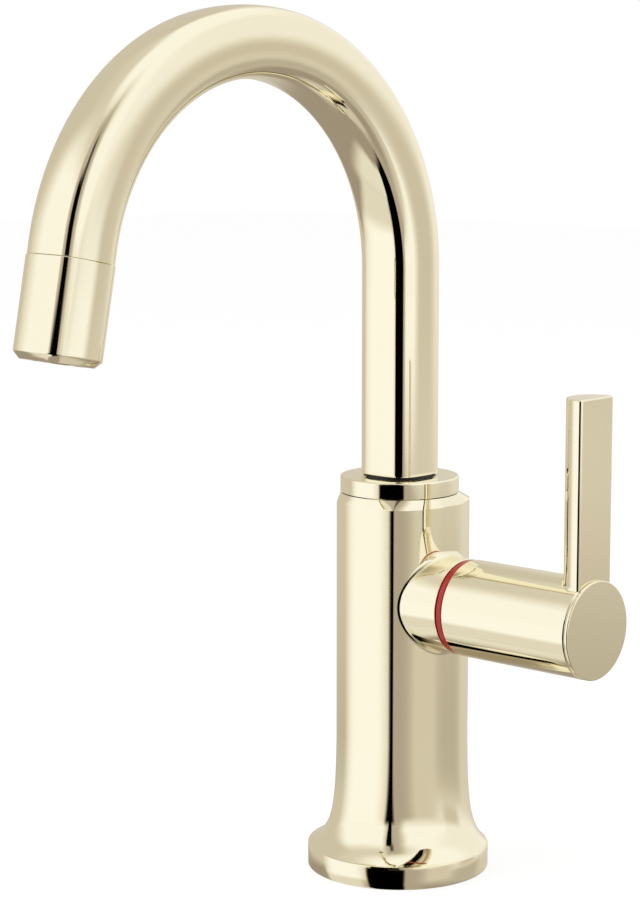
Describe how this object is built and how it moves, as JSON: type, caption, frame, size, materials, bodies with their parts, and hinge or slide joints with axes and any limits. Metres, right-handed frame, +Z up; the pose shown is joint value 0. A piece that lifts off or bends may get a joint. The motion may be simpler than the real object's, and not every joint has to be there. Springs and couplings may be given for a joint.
{
  "type": "instant hot water faucet",
  "caption": "Deck-mounted instant hot water faucet with a swivelling gooseneck spout and a side lever valve.",
  "frame": {"origin": "centre of the base's underside, on the axis of the shank thread and of the spout's upright leg", "axes": "+Z up, the spout reaches towards -Y, the valve and lever stand out towards +X"},
  "size_m": [0.1101, 0.1877, 0.28],
  "materials": {
    "nickel": "polished",
    "indicator_red": "gloss",
    "brass": "machined",
    "stainless": "satin",
    "acetal": "satin",
    "dark_acetal": "satin",
    "seal_rubber": "matte",
    "ceramic": "lapped",
    "tube_silicone": "matte"
  },
  "bodies": {
    "base": {"body": "nickel", "base_gasket": "seal_rubber", "lower_thrust_washer": "acetal", "upper_thrust_washer": "acetal", "spout_collar": "nickel", "collar_glide_ring": "dark_acetal", "cartridge_seat_gasket": "seal_rubber", "cartridge_housing": "acetal", "housing_oring": "seal_rubber", "fixed_ceramic_disc": "ceramic", "bonnet_nut": "brass", "hot_indicator_ring": "indicator_red", "handle_bushing": "acetal"},
    "spout": {"spout_tube": "nickel", "spout_spigot": "brass", "spigot_orings": "seal_rubber", "spout_water_tube": "tube_silicone", "outlet_insert": "dark_acetal", "outlet_gasket": "seal_rubber", "flow_straightener": "acetal", "outlet_screen": "stainless", "outlet_sleeve": "nickel"},
    "handle": {"lever_handle": "nickel", "handle_end_cap": "nickel", "cap_oring": "seal_rubber", "handle_screw": "stainless", "spline_adapter": "brass", "valve_stem": "brass", "stem_orings": "seal_rubber", "stem_clip": "stainless", "moving_ceramic_disc": "ceramic"}
  },
  "joints": [
    {"name": "spout_swivel", "type": "hinge", "parent": "base", "child": "spout", "pos_m": [0, 0, 0.118], "axis": [0, 0, 1], "continuous": true},
    {"name": "lever_turn", "type": "hinge", "parent": "base", "child": "handle", "pos_m": [0.04, 0, 0.0908], "axis": [1, 0, 0], "range_deg": [0, 90]}
  ]
}
